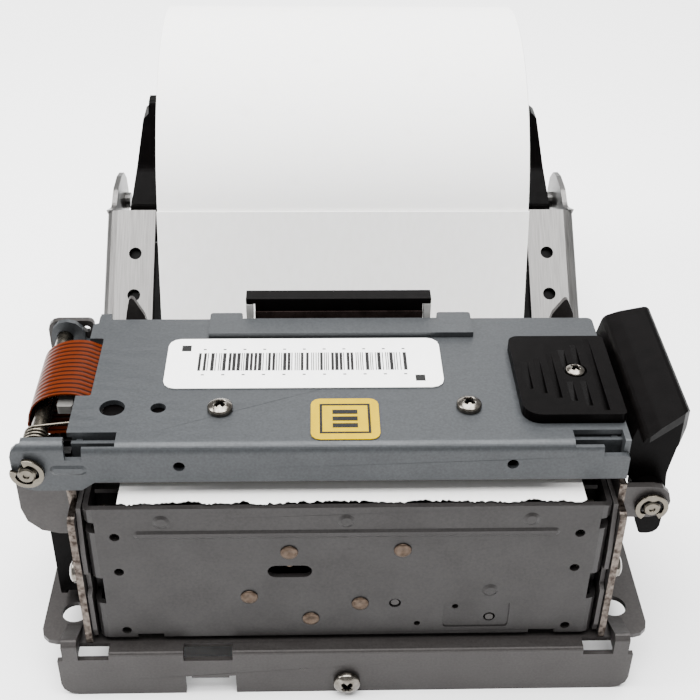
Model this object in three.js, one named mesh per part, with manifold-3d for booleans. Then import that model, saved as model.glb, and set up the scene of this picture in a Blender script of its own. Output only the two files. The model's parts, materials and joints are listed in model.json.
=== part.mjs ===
// Open-frame kiosk receipt printer for 80 mm paper. Millimetres, X right, Y back, Z up.
// It is drawn with X 0 in the middle of the cutter plate, Y 0 at its front face and Z 0 under
// the tray, and placed with its origin under the middle of the tray's front flange.
import * as THREE from "three";
import { mergeVertices } from "three/addons/utils/BufferGeometryUtils.js";
import Module from "manifold-3d";

const wasm = await Module();
wasm.setup();

// ---------------------------------------------------------------- driving sizes
const sheet = 1; // thin steel sheet
const heavySheet = 1.2; // side frames and arms
const gap = 0.2; // left between pieces that rest on each other
const running = 0.1; // between a pin and the hole that turns on it

const paperWidth = 80;
const paperMiddle = 0.7; // the paper runs a little right of the cutter's middle
const paperLeft = paperMiddle - paperWidth / 2;
const paperRight = paperMiddle + paperWidth / 2;
const paperThickness = 0.3;

const trayFront = -3;
const trayTop = 11;
const trayBack = 88;
const trayHalf = 53;
const floorHalf = 56.5;

const plateHalf = 45.3; // cutter plate
const plateTop = 44;
const plateBottom = 12.3;

const wallInside = 46.6; // side frames
const wallOutside = wallInside + heavySheet;

const coverTop = 55;
const coverLeft = -47.4;
const coverRight = 47.5;
const coverFront = 3;
const coverBack = 40.7;

const hinge = [-53.7, 50.2]; // X and Z of the cover's shaft
const shaftRadius = 1.5;
const pivot = [52.6, 41.2]; // X and Z of the lever's pin

const rollCentre = [116.5, 46]; // Y and Z
const rollRadius = 40;
const coreRadius = 9;
const spindleRadius = 6;

const platenCentre = [21, 36]; // Y and Z
const platenRadius = 8;

// ---------------------------------------------------------------- solids
const AXIS_X = new THREE.Vector3(1, 0, 0);
const AXIS_Y = new THREE.Vector3(0, 1, 0);
const AXIS_Z = new THREE.Vector3(0, 0, 1);
const FACING = {
  x: new THREE.Matrix4().makeBasis(AXIS_Y, AXIS_Z, AXIS_X),
  y: new THREE.Matrix4().makeBasis(AXIS_X, AXIS_Z, AXIS_Y.clone().negate()),
  z: new THREE.Matrix4().makeBasis(AXIS_X, AXIS_Y, AXIS_Z),
};

// A closed three.js geometry as a solid for cutting and joining.
function solid(geometry) {
  const flat = geometry.index ? geometry.toNonIndexed() : geometry;
  const bare = new THREE.BufferGeometry();
  bare.setAttribute("position", flat.getAttribute("position"));
  const merged = mergeVertices(bare, 1e-4);
  const corners = [];
  for (let i = 0; i < merged.index.count; i += 3) {
    const [a, b, c] = [0, 1, 2].map((k) => merged.index.getX(i + k));
    if (a !== b && b !== c && c !== a) corners.push(a, b, c);
  }
  return new wasm.Manifold(
    new wasm.Mesh({
      numProp: 3,
      vertProperties: new Float32Array(merged.attributes.position.array),
      triVerts: new Uint32Array(corners),
    }),
  );
}

// Corners [u, v, radius] turned into an outline, each radius rounded off.
function outline(corners, steps = 3) {
  const points = [];
  corners.forEach(([u, v, radius = 0], i) => {
    const here = new THREE.Vector2(u, v);
    if (!radius) {
      points.push(here);
      return;
    }
    const [pu, pv] = corners[(i + corners.length - 1) % corners.length];
    const [nu, nv] = corners[(i + 1) % corners.length];
    const back = new THREE.Vector2(pu, pv).sub(here).normalize();
    const ahead = new THREE.Vector2(nu, nv).sub(here).normalize();
    const half = Math.acos(back.dot(ahead)) / 2;
    const reach = radius / Math.tan(half);
    const centre = back.clone().add(ahead).normalize();
    centre.multiplyScalar(radius / Math.sin(half)).add(here);
    const from = here.clone().addScaledVector(back, reach).sub(centre).angle();
    const to = here.clone().addScaledVector(ahead, reach).sub(centre).angle();
    let sweep = to - from;
    if (sweep > Math.PI) sweep -= 2 * Math.PI;
    if (sweep < -Math.PI) sweep += 2 * Math.PI;
    for (let k = 0; k <= steps; k++) {
      const angle = from + (sweep * k) / steps;
      points.push(
        new THREE.Vector2(
          centre.x + radius * Math.cos(angle),
          centre.y + radius * Math.sin(angle),
        ),
      );
    }
  });
  return points;
}

const rectangle = (u0, u1, v0, v1, radius = 0) =>
  outline([
    [u0, v0, radius],
    [u1, v0, radius],
    [u1, v1, radius],
    [u0, v1, radius],
  ]);

// A point at an angle in degrees from a centre.
function polar([u, v], radius, degrees) {
  const angle = THREE.MathUtils.degToRad(degrees);
  return new THREE.Vector2(u + radius * Math.cos(angle), v + radius * Math.sin(angle));
}

const arc = (centre, radius, start, end, steps) =>
  Array.from({ length: steps + 1 }, (_, k) =>
    polar(centre, radius, start + ((end - start) * k) / steps),
  );

const circle = (centre, radius, sides = 24) =>
  arc(centre, radius, 0, 360 - 360 / sides, sides - 1);

// An outline thickened along an axis. Outlines are (Y,Z), (X,Z) or (X,Y).
function plate(facing, points, from, to) {
  const geometry = new THREE.ExtrudeGeometry(new THREE.Shape(points), {
    depth: to - from,
    bevelEnabled: false,
  });
  geometry.applyMatrix4(FACING[facing]);
  if (facing === "x") geometry.translate(from, 0, 0);
  if (facing === "y") geometry.translate(0, to, 0);
  if (facing === "z") geometry.translate(0, 0, from);
  return solid(geometry);
}

const box = (x0, x1, y0, y1, z0, z1) =>
  plate("z", rectangle(x0, x1, y0, y1), z0, z1);

const rod = (facing, centre, radius, from, to, sides = 24) =>
  plate(facing, circle(centre, radius, sides), from, to);

const join = (first, ...others) =>
  others.reduce((whole, other) => whole.add(other), first);

const cut = (whole, ...tools) =>
  tools.reduce((left, tool) => left.subtract(tool), whole);

// A shallow emboss on a front face at y, with a sloping rim round its centres [x, z].
function emboss(centres, base, tip, height, y = 0) {
  const root = 0.3;
  const wide = base + ((base - tip) * root) / height;
  const ends = centres.map(([x, z]) => {
    const cone = new THREE.CylinderGeometry(wide, tip, height + root, 24);
    return solid(cone.translate(x, y + (root - height) / 2, z));
  });
  return wasm.Manifold.hull(ends);
}

// The outline of a band of even thickness along an open path.
function band(path, thickness) {
  const half = thickness / 2;
  const sides = path.map((point, i) => {
    const before = path[Math.max(i - 1, 0)];
    const after = path[Math.min(i + 1, path.length - 1)];
    const along = after.clone().sub(before).normalize();
    const across = new THREE.Vector2(-along.y, along.x).multiplyScalar(half);
    return [point.clone().add(across), point.clone().sub(across)];
  });
  const left = sides.map(([a]) => a);
  const right = sides.map(([, b]) => b);
  return [...right, ...left.reverse()];
}

const group = new THREE.Group();

function place(name, shape, colour, roughness, metalness) {
  const mesh = shape.getMesh();
  const geometry = new THREE.BufferGeometry();
  geometry.setAttribute(
    "position",
    new THREE.BufferAttribute(new Float32Array(mesh.vertProperties), 3),
  );
  geometry.setIndex(new THREE.BufferAttribute(new Uint32Array(mesh.triVerts), 1));
  geometry.translate(0, -trayFront - sheet / 2, 0);
  geometry.computeVertexNormals();
  const material = new THREE.MeshStandardMaterial({
    color: colour,
    roughness,
    metalness,
  });
  const made = new THREE.Mesh(geometry, material);
  made.name = name;
  group.add(made);
}

const sides = [
  ["left", -1],
  ["right", 1],
];

// Sheet from x0 to x1 on the right, or its mirror on the left.
const sidePlate = (sign, points, x0, x1) =>
  plate("x", points, Math.min(sign * x0, sign * x1), Math.max(sign * x0, sign * x1));

const sideBox = (sign, x0, x1, ...rest) =>
  box(Math.min(sign * x0, sign * x1), Math.max(sign * x0, sign * x1), ...rest);

const sideRod = (sign, centre, radius, x0, x1, count) =>
  sidePlate(sign, circle(centre, radius, count), x0, x1);

// ---------------------------------------------------------------- screws and clips
const screwHead = 2.2;
const screwShank = 1.05;

// A cross-recessed pan head whose underside stands at `at`, pointing along `up`.
function panScrew(name, at, up, length, head = screwHead) {
  const height = head * 0.7;
  const profile = [
    [0, -length],
    [screwShank, -length],
    [screwShank, 0],
    [head, 0],
    [head, height * 0.5],
    [head * 0.85, height * 0.85],
    [head * 0.45, height],
    [0, height],
  ].map(([r, y]) => new THREE.Vector2(r, y));
  const turn = new THREE.Quaternion().setFromUnitVectors(AXIS_Y, up);
  const set = (geometry) => {
    geometry.applyQuaternion(turn);
    geometry.translate(...at);
    return solid(geometry);
  };
  const slot = (width, depth) => {
    const geometry = new THREE.BoxGeometry(width, 1, depth);
    geometry.translate(0, height + 0.1, 0);
    return set(geometry);
  };
  const blank = set(new THREE.LatheGeometry(profile, 14));
  const arm = head * 1.2;
  const shape = cut(blank, slot(arm, 0.5), slot(0.5, arm));
  place(name, shape, 0xa09a94, 0.35, 0.9);
}

// A spring clip open over `mouth` degrees centred on the angle `towards`.
function clip(name, centre, y0, y1, towards, mouth = 70) {
  const start = towards + mouth / 2;
  const end = towards + 360 - mouth / 2;
  const outer = arc(centre, 2.9, start, end, 20);
  const inner = arc(centre, shaftRadius + gap, start, end, 20).reverse();
  place(name, plate("y", [...outer, ...inner], y0, y1), 0x9a948c, 0.4, 0.9);
}

// ---------------------------------------------------------------- base tray
function tray() {
  const front = trayFront;
  const bend = 0.6;
  const section = outline([
    [front, 0],
    [front + sheet, 0],
    [front + sheet, trayTop - sheet],
    [trayBack - sheet, trayTop - sheet],
    [trayBack - sheet, 0],
    [trayBack, 0],
    [trayBack, trayTop, bend],
    [front, trayTop, bend],
  ]);
  const blank = plate("x", section, -trayHalf, trayHalf);
  const face = outline([
    [-trayHalf, 0, 3],
    [trayHalf, 0, 3],
    [trayHalf, trayTop + 1],
    [-trayHalf, trayTop + 1],
  ]);
  const rounded = blank.intersect(plate("y", face, front - 1, trayBack + 1));
  const wings = plate(
    "z",
    outline([
      [-floorHalf, 0.4, 3],
      [floorHalf, 0.4, 3],
      [floorHalf, trayBack - 4, 3],
      [-floorHalf, trayBack - 4, 3],
    ]),
    trayTop - sheet,
    trayTop,
  );
  const whole = join(rounded, wings);
  const bump = outline([
    [front, 9.5],
    [front, 13, 0.6],
    [front + 1, 13.9, 0.6],
    [4.5, trayTop],
    [4.5, 10.2],
    [front + sheet, 10.2],
  ].reverse());
  const cutters = [];
  const added = [];
  for (const [, sign] of sides) {
    added.push(sidePlate(sign, bump, 49.2, 52));
    cutters.push(sideBox(sign, 52, 53.6, front - 1, 0.4, 9.3, 15));
    cutters.push(sideBox(sign, 43.6, 49.2, front - 1, -0.2, 9.5, 15));
    cutters.push(rod("z", [sign * 51, 7.4], 2.5, 9, 12));
  }
  cutters.push(box(-30, -21, front - 1, -0.5, 9, 12));
  cutters.push(box(-30, -20.6, front - 1, -1, -1, 4.2));
  cutters.push(box(-30, -28.8, front - 1, -1, 4, 4.7));
  cutters.push(box(-21.8, -20.6, front - 1, -1, 4, 4.7));
  cutters.push(rod("y", [0, 3.1], screwShank + gap, front - 1, -1, 16));
  place("base_tray", cut(join(whole, ...added), ...cutters), 0x77716d, 0.45, 0.8);
  panScrew("tray_screw", [0, front - gap, 3.1], AXIS_Y.clone().negate(), 3, 2.5);
}

// ---------------------------------------------------------------- side frames
const platenShaft = 2;
const feedTeeth = { platen: 24, idler: 20, motor: 12 };
const feedModule = 0.7;
const feedRadius = (name) => (feedTeeth[name] * feedModule) / 2;
const motorCentre = [19, 20.3];

// Centre of a gear that meshes with two others, on the side of larger Y.
function meshing(a, reachA, b, reachB) {
  const start = new THREE.Vector2(...a);
  const span = new THREE.Vector2(...b).sub(start);
  const apart = span.length();
  const along = (reachA ** 2 - reachB ** 2 + apart ** 2) / (2 * apart);
  const aside = Math.sqrt(reachA ** 2 - along ** 2);
  span.normalize();
  return [
    start.x + span.x * along - span.y * aside,
    start.y + span.y * along + span.x * aside,
  ];
}

const idlerCentre = meshing(
  platenCentre,
  feedRadius("platen") + feedRadius("idler"),
  motorCentre,
  feedRadius("idler") + feedRadius("motor"),
);

const wallBack = 46;
const wallScrew = [3, 26.6]; // Y and Z

function leftFrame() {
  const wall = outline([
    [-0.3, trayTop + gap],
    [wallBack, trayTop + gap],
    [wallBack, 45, 2],
    [4.4, 45],
    [4.4, 41.8],
    [-0.3, 41.8, 1],
  ]);
  const ear = outline([
    [-56.6, 34.3, 6],
    [-wallInside, 34.3],
    [-wallInside, 45],
    [-48.3, 45],
    [-48.3, 54, 1.5],
    [-56.6, 54, 2.5],
  ]);
  const bearing = outline([
    [-57, 37, 4],
    [-wallInside, 37],
    [-wallInside, 45],
    [-48.2, 45],
    [-48.2, 53.2, 1],
    [-57, 53.2, 2],
  ]);
  const whole = join(
    sidePlate(-1, wall, wallInside, wallOutside),
    plate("y", ear, 4.5, 4.5 + heavySheet),
    plate("y", bearing, 43, 43 + heavySheet),
    sideRod(-1, idlerCentre, 1.5, wallOutside - 0.2, 52.3, 16),
  );
  place(
    "side_frame_left",
    cut(
      whole,
      rod("y", hinge, shaftRadius + running, 0, 50),
      rod("y", [-49.6, 51.3], 0.7, 42, 46, 12),
      sideRod(-1, platenCentre, platenShaft + running, 46, 49),
      sideRod(-1, motorCentre, 2.4, 46, 49),
      sideRod(-1, wallScrew, screwShank + gap, 46, 49, 16),
    ),
    0x6f6a68,
    0.45,
    0.8,
  );
}

function rightFrame() {
  const wall = outline([
    [-0.3, trayTop + gap],
    [wallBack, trayTop + gap],
    [wallBack, 46, 2],
    [3, 46],
    [3, 41.8],
    [-0.3, 41.8, 1],
  ]);
  const ear = outline([
    [wallInside, 38.4],
    [55.9, 38.4, 3.2],
    [55.9, 45.4, 3.2],
    [wallInside, 45.4],
  ]);
  const whole = join(
    sidePlate(1, wall, wallInside, wallOutside),
    plate("y", ear, 3, 4.2),
    plate("y", ear, 40, 41.2),
  );
  place(
    "side_frame_right",
    cut(
      whole,
      rod("y", pivot, shaftRadius + running, 2, 45),
      sideRod(1, platenCentre, platenShaft + running, 46, 49),
      sideRod(1, wallScrew, screwShank + gap, 46, 49, 16),
    ),
    0x6f6a68,
    0.45,
    0.8,
  );
}

// Cross plate at the back with the paper's way in and two pointed guides for the cover.
function rearPlate() {
  const half = wallInside - gap;
  const y = 43.6;
  const top = 49.5;
  const face = outline([
    [-half, trayTop + gap],
    [half, trayTop + gap],
    [half, top, 1],
    [45.2, top],
    [44.6, 54],
    [43, 57.8, 0.5],
    [40.6, 54],
    [39.6, top],
    [-37.4, top],
    [-38.4, 54],
    [-40.8, 58.9, 0.5],
    [-41.9, 54],
    [-42.6, top],
    [-half, top, 1],
  ]);
  place(
    "rear_plate",
    cut(plate("y", face, y, y + sheet), box(-43, 43, 40, 50, 15, 27)),
    0x6c6562,
    0.5,
    0.8,
  );
}

// ---------------------------------------------------------------- cutter
const bladeFront = coverFront + sheet + gap; // it rises just behind the cover's front
const bladeBack = bladeFront + 0.9;
const gearFront = bladeBack + 0.1;
const gearBack = gearFront + 2;
const crank = [-10.3, 33.6]; // X and Z
const crankThrow = 4.1;
const cutterModule = 0.6;
const crankTeeth = 28;
const pinionTeeth = 16;
const crankReach = ((crankTeeth + pinionTeeth) * cutterModule) / 2;
const pinionAngle = THREE.MathUtils.degToRad(236.5);
const cutterPinion = [
  crank[0] + crankReach * Math.cos(pinionAngle),
  crank[1] + crankReach * Math.sin(pinionAngle),
];
const rivets = [
  [-10.3, 33.6],
  [-17.6, 22.6],
  [-6.6, 16.8],
  [9.5, 33.9],
  [2.3, 20.6],
];

const stopPins = [
  [8.6, 20.5],
  [26, 16.4],
];

function cutterPlate() {
  const flange = 8;
  const bend = 1.8;
  const section = outline([
    [-plateHalf, flange],
    [-plateHalf, 0, bend],
    [plateHalf, 0, bend],
    [plateHalf, flange],
    [plateHalf - sheet, flange],
    [plateHalf - sheet, sheet, bend - sheet],
    [-plateHalf + sheet, sheet, bend - sheet],
    [-plateHalf + sheet, flange],
  ]);
  const blank = plate("z", section, plateBottom, plateTop);
  const face = outline([
    [-plateHalf - 1, plateBottom - 1],
    [-41.5, plateBottom - 1],
    [-40.5, plateBottom, 1],
    [40.5, plateBottom, 1],
    [41.5, plateBottom - 1],
    [plateHalf + 1, plateBottom - 1],
    [plateHalf + 1, plateTop - 1],
    [43.5, plateTop, 1],
    [-43.5, plateTop, 1],
    [-plateHalf - 1, plateTop - 1],
  ]);
  const ribEnds = [
    [-36, 38],
    [35.7, 38],
  ];
  const rib = emboss(ribEnds, 0.95, 0.4, 0.28);
  const dimples = [
    [-32, 41],
    [-0.4, 40.9],
    [31.4, 41],
    [25.6, 23.6],
  ].map((at) => emboss([at], 1.5, 0.9, 0.3));
  const through = (shape) => plate("y", shape, -1, 2);
  const holes = [];
  for (const [, sign] of sides) {
    for (const z of [37.5, 29.1, 14.1]) {
      holes.push(through(circle([sign * 40.2, z], 0.9, 10)));
    }
    holes.push(sideBox(sign, 43.4, 50, -1, 4, 38.5, 40.9));
    holes.push(sideBox(sign, 43.2, 50, -1, 4, 21.2, 27.6));
  }
  holes.push(through(rectangle(-14.2, -6.3, 27.4, 30.3, 1.44)));
  for (const at of stopPins) holes.push(through(circle(at, 1.1, 16)));
  holes.push(through(circle([12.8, 15.1], 0.6, 12)));
  holes.push(plate("y", rectangle(17.5, 29.5, 14, 20.6, 0.8), -1, 0.25));
  holes.push(through(circle([19.6, 19.2], 0.6, 12)));
  holes.push(through(rectangle(-38.3, -33.5, plateBottom - 1, 13.1)));
  holes.push(through(rectangle(33.5, 38.3, plateBottom - 1, 13.1)));
  for (const at of rivets) holes.push(through(circle(at, 1.1, 12)));
  const shaped = blank.intersect(plate("y", face, -1, flange + 1));
  place(
    "cutter_plate",
    cut(join(shaped, rib, ...dimples), ...holes),
    0x75716f,
    0.42,
    0.8,
  );
  rivets.forEach((at, i) => {
    const head = rod("y", at, 1.55, -0.4, -gap / 2, 20);
    const shank = rod("y", at, 0.95, -0.3, 1.1, 12);
    place("rivet_" + (i + 1), join(head, shank), 0x8a5a44, 0.45, 0.8);
  });
}

// Sheet behind the gears, its stepped side flanges seen beside the cutter plate.
function cutterBack() {
  const y = 8.6;
  const edge = outline([
    [0.6, 12.2],
    [y + sheet, 12.2],
    [y + sheet, 43],
    [1.4, 43],
    [0.2, 33],
    [0.2, 28.4],
    [1.4, 27.8],
    [1.4, 23.6],
    [0.2, 23],
    [0.2, 14],
  ]);
  const outer = 46.4;
  const flanges = sides.map(([, sign]) => sidePlate(sign, edge, 45.6, outer));
  const back = box(-outer, outer, y, y + sheet, 12.2, 40);
  const post = rod("y", crank, 1.4, gearFront, y + 0.5, 16);
  const pins = stopPins.map((at) => rod("y", at, 0.75, 0.2, y + 0.5, 14));
  const holes = sides.map(([, sign]) =>
    sideRod(sign, wallScrew, screwShank + gap, 45, 47, 16),
  );
  place(
    "cutter_back",
    cut(join(back, post, ...pins, ...flanges), ...holes, rod("y", cutterPinion, 1.6, 8, 11)),
    0x7a706a,
    0.45,
    0.8,
  );
  for (const [name, sign] of sides) {
    const at = [sign * (wallOutside + gap), ...wallScrew];
    panScrew("side_screw_" + name, at, new THREE.Vector3(sign, 0, 0), 2);
  }
  const body = rod("y", cutterPinion, 4.5, y + sheet + gap, 30, 24);
  place("cutter_motor", body, 0x8c8a86, 0.35, 0.9);
}

// A spur gear of blunt, slightly slim teeth, with a bore.
function gear(facing, centre, teeth, size, from, to, bore, phase = 0) {
  const radius = (teeth * size) / 2;
  const pitch = 360 / teeth;
  const points = [];
  for (let i = 0; i < teeth; i++) {
    const middle = phase + i * pitch;
    for (const [share, r] of [
      [-0.34, radius - 1.05 * size],
      [-0.13, radius + 0.75 * size],
      [0.13, radius + 0.75 * size],
      [0.34, radius - 1.05 * size],
    ]) {
      points.push(polar(centre, r, middle + share * pitch));
    }
  }
  const blank = plate(facing, points, from, to);
  return cut(blank, rod(facing, centre, bore, from - 1, to + 1, 20));
}

// Phase that puts a gear's gap opposite a mate's tooth lying at `angle`.
const opposite = (angle, teeth) => angle + 180 + 180 / teeth;

function cutterDrive() {
  const angle = THREE.MathUtils.radToDeg(pinionAngle);
  const wheel = gear(
    "y",
    crank,
    crankTeeth,
    cutterModule,
    gearFront,
    gearBack,
    1.4 + running,
    angle,
  );
  const pin = rod("y", [crank[0], crank[1] - crankThrow], 0.8, 1.25, gearFront + 0.6, 14);
  place("crank_gear", join(wheel, pin), 0x3c3a38, 0.5, 0.1);

  const pinion = gear(
    "y",
    cutterPinion,
    pinionTeeth,
    cutterModule,
    gearFront,
    gearBack,
    0.8,
    opposite(angle, pinionTeeth),
  );
  const axle = rod("y", cutterPinion, 1, gearFront, 9.7, 16);
  place("cutter_pinion", join(pinion, axle), 0xb08d4a, 0.4, 0.9);

  const low = 24;
  const edge = outline([
    [-43, low, 1],
    [43, low, 1],
    [43, 40.6],
    [0, 38.6],
    [-43, 40.6],
  ]);
  const slack = 1.75;
  const slotZ = crank[1] - crankThrow;
  const slot = rectangle(
    crank[0] - crankThrow - 1.2,
    crank[0] + crankThrow + 1.2,
    slotZ - slack,
    slotZ + slack,
    0.5,
  );
  const blade = cut(
    plate("y", edge, bladeFront, bladeBack),
    plate("y", slot, bladeFront - 1, bladeBack + 1),
  );
  place("cutter_blade", blade, 0xb9b7b3, 0.25, 0.95);
}

// ---------------------------------------------------------------- paper feed
function feed() {
  const roller = cut(
    rod("x", platenCentre, platenRadius, paperLeft - 1, paperRight + 1, 40),
    rod("x", platenCentre, 3 + gap, -60, 60, 20),
  );
  place("platen_roller", roller, 0x1c1c1d, 0.8, 0);
  const gearX = [-51.8, -49.4];
  const shaft = join(
    rod("x", platenCentre, 3, paperLeft - 3, paperRight + 3, 20),
    rod("x", platenCentre, platenShaft, gearX[0] + 0.2, wallOutside + 0.8, 20),
  );
  place("platen_shaft", shaft, 0xb0aeaa, 0.25, 0.95);
  const angleTo = (a, b) =>
    THREE.MathUtils.radToDeg(Math.atan2(b[1] - a[1], b[0] - a[0]));
  const toIdler = angleTo(platenCentre, idlerCentre);
  const toMotor = angleTo(idlerCentre, motorCentre);
  const idlerPhase = opposite(toIdler, feedTeeth.idler);
  const idlerPitch = 360 / feedTeeth.idler;
  const nearest =
    idlerPhase + Math.round((toMotor - idlerPhase) / idlerPitch) * idlerPitch;
  const slip = ((toMotor - nearest) * feedTeeth.idler) / feedTeeth.motor;
  place(
    "platen_gear",
    gear(
      "x",
      platenCentre,
      feedTeeth.platen,
      feedModule,
      ...gearX,
      platenShaft + gap / 2,
      toIdler,
    ),
    0x222222,
    0.6,
    0,
  );
  place(
    "idler_gear",
    gear("x", idlerCentre, feedTeeth.idler, feedModule, ...gearX, 1.6, idlerPhase),
    0x2a2a2a,
    0.6,
    0,
  );
  const pinion = join(
    gear(
      "x",
      motorCentre,
      feedTeeth.motor,
      feedModule,
      ...gearX,
      0.8,
      opposite(toMotor, feedTeeth.motor) + slip,
    ),
    rod("x", motorCentre, 1, gearX[0], -46.5, 16),
  );
  place("feed_pinion", pinion, 0xb08d4a, 0.4, 0.9);
  const can = join(
    rod("x", motorCentre, 7.3, -45.4, -27, 28),
    rod("x", motorCentre, 2.2, -46.2, -45, 16),
  );
  place("feed_motor", can, 0x8c8a86, 0.35, 0.9);
}

// Black cover over the feed gears, open at the back and on top.
function gearCover() {
  const front = 9.2;
  const back = 37.5;
  const low = 13;
  const top = 44.6;
  const face = outline([
    [front, low, 2],
    [back, low, 2],
    [back, 33, 3],
    [31.5, top, 3],
    [front, top, 2],
  ]);
  const outer = 53.6;
  const lid = sidePlate(-1, face, outer - sheet, outer);
  const inner = wallOutside + gap;
  const wall = sideBox(-1, inner, outer - 0.1, front, front + 1, low + 2, top - 2);
  const floor = sideBox(-1, inner, outer - 0.1, front + 2, back - 2, low, low + 1);
  place("gear_cover", join(lid, wall, floor), 0x232222, 0.55, 0);
}

// ---------------------------------------------------------------- cover
const earTop = 55.6;

const coverScrews = [
  [-22, 13],
  [21, 13.3],
  [40.7, 21.2],
];

// What a bend along X leaves outside its rounding, for a corner at y and z.
function outsideOfBend(from, to, y, z, radius) {
  const corner = box(from, to, y - 1, y + radius, z - radius, z + 1);
  return cut(corner, rod("x", [y + radius, z - radius], radius, from - 1, to + 1, 40));
}

function topCover() {
  const face = outline([
    [coverLeft, coverFront],
    [coverRight, coverFront],
    [coverRight, coverBack, 1],
    [-44.1, coverBack],
    [coverLeft, coverBack - 1.6],
    [coverLeft, 34.5],
    [-44.8, 34.5, 0.4],
    [-44.8, 17.2, 0.4],
    [coverLeft, 17.2],
  ]);
  const top = plate("z", face, coverTop - sheet, coverTop);
  const front = outline([
    [-56.4, 45.7, 3.4],
    [-45.2, 45.7],
    [-42.9, 47.4],
    [coverRight, 47.4],
    [coverRight, 52.4, 0.6],
    [42.9, 52.4],
    [42.9, coverTop],
    [-44.5, coverTop],
    [-44.5, 52.3, 0.4],
    [-47.4, 52.3, 0.4],
    [-47.4, earTop, 0.5],
    [-56.4, earTop, 2.4],
  ]);
  const flange = plate("y", front, coverFront, coverFront + sheet);
  const lip = box(-54.6, -47.6, coverFront, coverFront + 2.2, earTop - sheet, earTop);
  const beadEnds = [
    [-49, 50.2],
    [-44.9, 50.2],
  ];
  const bead = emboss(beadEnds, 1.05, 0.5, 0.25, coverFront);
  const rearEar = outline([
    [-56.2, 46.4, 3.4],
    [-46, 46.4],
    [-44.3, 48],
    [-44.3, coverTop],
    [-46.4, coverTop],
    [-46.4, 49.4, 0.5],
    [-49.9, 49.4, 0.5],
    [-49.9, 53.9, 3],
    [-56.2, 53.9, 3],
  ]);
  const rear = plate("y", rearEar, 41.6, 41.6 + sheet);
  const bridge = box(-46.5, -44.3, 38, 41.8, coverTop - sheet, coverTop);
  const rails = sides.map(([, sign]) =>
    join(
      sideBox(sign, 38, 46.6, 5.8, 6.6, 50.8, 53.7),
      sideBox(sign, 44.8, 45.8, 5.8, 7.9, 52.6, 53.6),
      sideBox(sign, 38, 46.6, 7.1, 7.9, 49.5, coverTop - sheet / 2),
    ),
  );
  const corner = box(46.5, coverRight, 4.1, 7.9, 50.2, coverTop - sheet / 2);
  const whole = join(top, flange, lip, bead, rear, bridge, ...rails, corner);
  const holes = [
    rod("z", [-40.6, 13.7], 2.2, 50, 57, 20),
    rod("z", [-32.7, 13.6], 1.35, 50, 57, 16),
    box(-47.5, -39, 4, 7.1, 53.8, 56),
    box(-47.4, -39, 2, 4.1, 54.5, 56),
    box(-47.4, -44.5, 2, 4.1, 52.3, 56),
    box(38, 46.5, 4, 6.9, 53.8, 56),
    box(38, 50, 2, 4.1, 54.2, 56),
    box(42.9, 50, 2, 4.1, 52.4, 56),
    outsideOfBend(-44.7, 50, coverFront, coverTop, 1.7),
    outsideOfBend(-60, -47.2, coverFront, earTop, 1.5),
    rod("y", [-28.5, 50.8], 1, 2, 5, 14),
    rod("y", [27.7, 50.8], 1, 2, 5, 14),
    rod("y", hinge, shaftRadius + running, 0, 50),
  ];
  for (const [x, y] of coverScrews) {
    holes.push(rod("z", [x, y], screwShank + gap, 50, 57, 16));
  }
  place("top_cover", cut(whole, ...holes), 0x7c8087, 0.4, 0.7);
}

function coverFittings() {
  const level = coverTop + gap / 2;
  const strip = outline([
    [-25.4, 34.4],
    [24, 34.4],
    [24, 41.2, 0.5],
    [17.6, 41.2, 0.5],
    [17.6, 39.3],
    [-19.3, 39.3],
    [-19.3, 41.2, 0.5],
    [-25.4, 41.2, 0.5],
  ]);
  place("rear_strip", plate("z", strip, level, level + sheet), 0x77787a, 0.45, 0.75);
  const white = rectangle(-32.5, 17.3, 18.8, 33.8, 2.2);
  place("white_label", plate("z", white, level, level + 0.15), 0xf2f2ef, 0.6, 0);
  const yellow = rectangle(-6.4, 5.3, 4.6, 15.6, 1.6);
  place("yellow_label", plate("z", yellow, level, level + 0.15), 0xe8c23a, 0.55, 0);

  const pad = outline([
    [29.9, 8.6, 3.2],
    [coverRight, 8.6, 0.8],
    [coverRight, 31.8, 0.8],
    [29.9, 31.8, 1.8],
  ], 6);
  const padTop = 57;
  const slotDepth = 1.4; // at the front of each grip slot
  const slots = [
    [31.9, 15.8, 23.7],
    [34.2, 14.5, 24.7],
    [36.6, 13.2, 26.1],
    [39.1, 12.3, 17.8],
    [39.1, 22.2, 27.3],
    [41.5, 11, 18],
    [41.5, 22.2, 28.9],
    [44.2, 9.7, 30.9],
  ].map(([x, front, back]) => {
    const wedge = outline([
      [front, padTop - slotDepth],
      [back, padTop],
      [back, padTop + 1],
      [front, padTop + 1],
    ]);
    return plate("x", wedge, x - 0.55, x + 0.55);
  });
  const counterbore = rod("z", [40.7, 21.2], 2.1, padTop - 0.6, 60, 20);
  const bore = rod("z", [40.7, 21.2], screwShank + gap, 50, 60, 16);
  const body = plate("z", pad, level, padTop);
  place("latch_pad", cut(body, ...slots, counterbore, bore), 0x1d1d1e, 0.5, 0);

  panScrew("cover_screw_left", [...coverScrews[0], level], AXIS_Z, 2.6);
  panScrew("cover_screw_right", [...coverScrews[1], level], AXIS_Z, 2.6);
  panScrew("latch_screw", [...coverScrews[2], padTop - 0.5], AXIS_Z, 4, 1.75);
}

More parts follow.
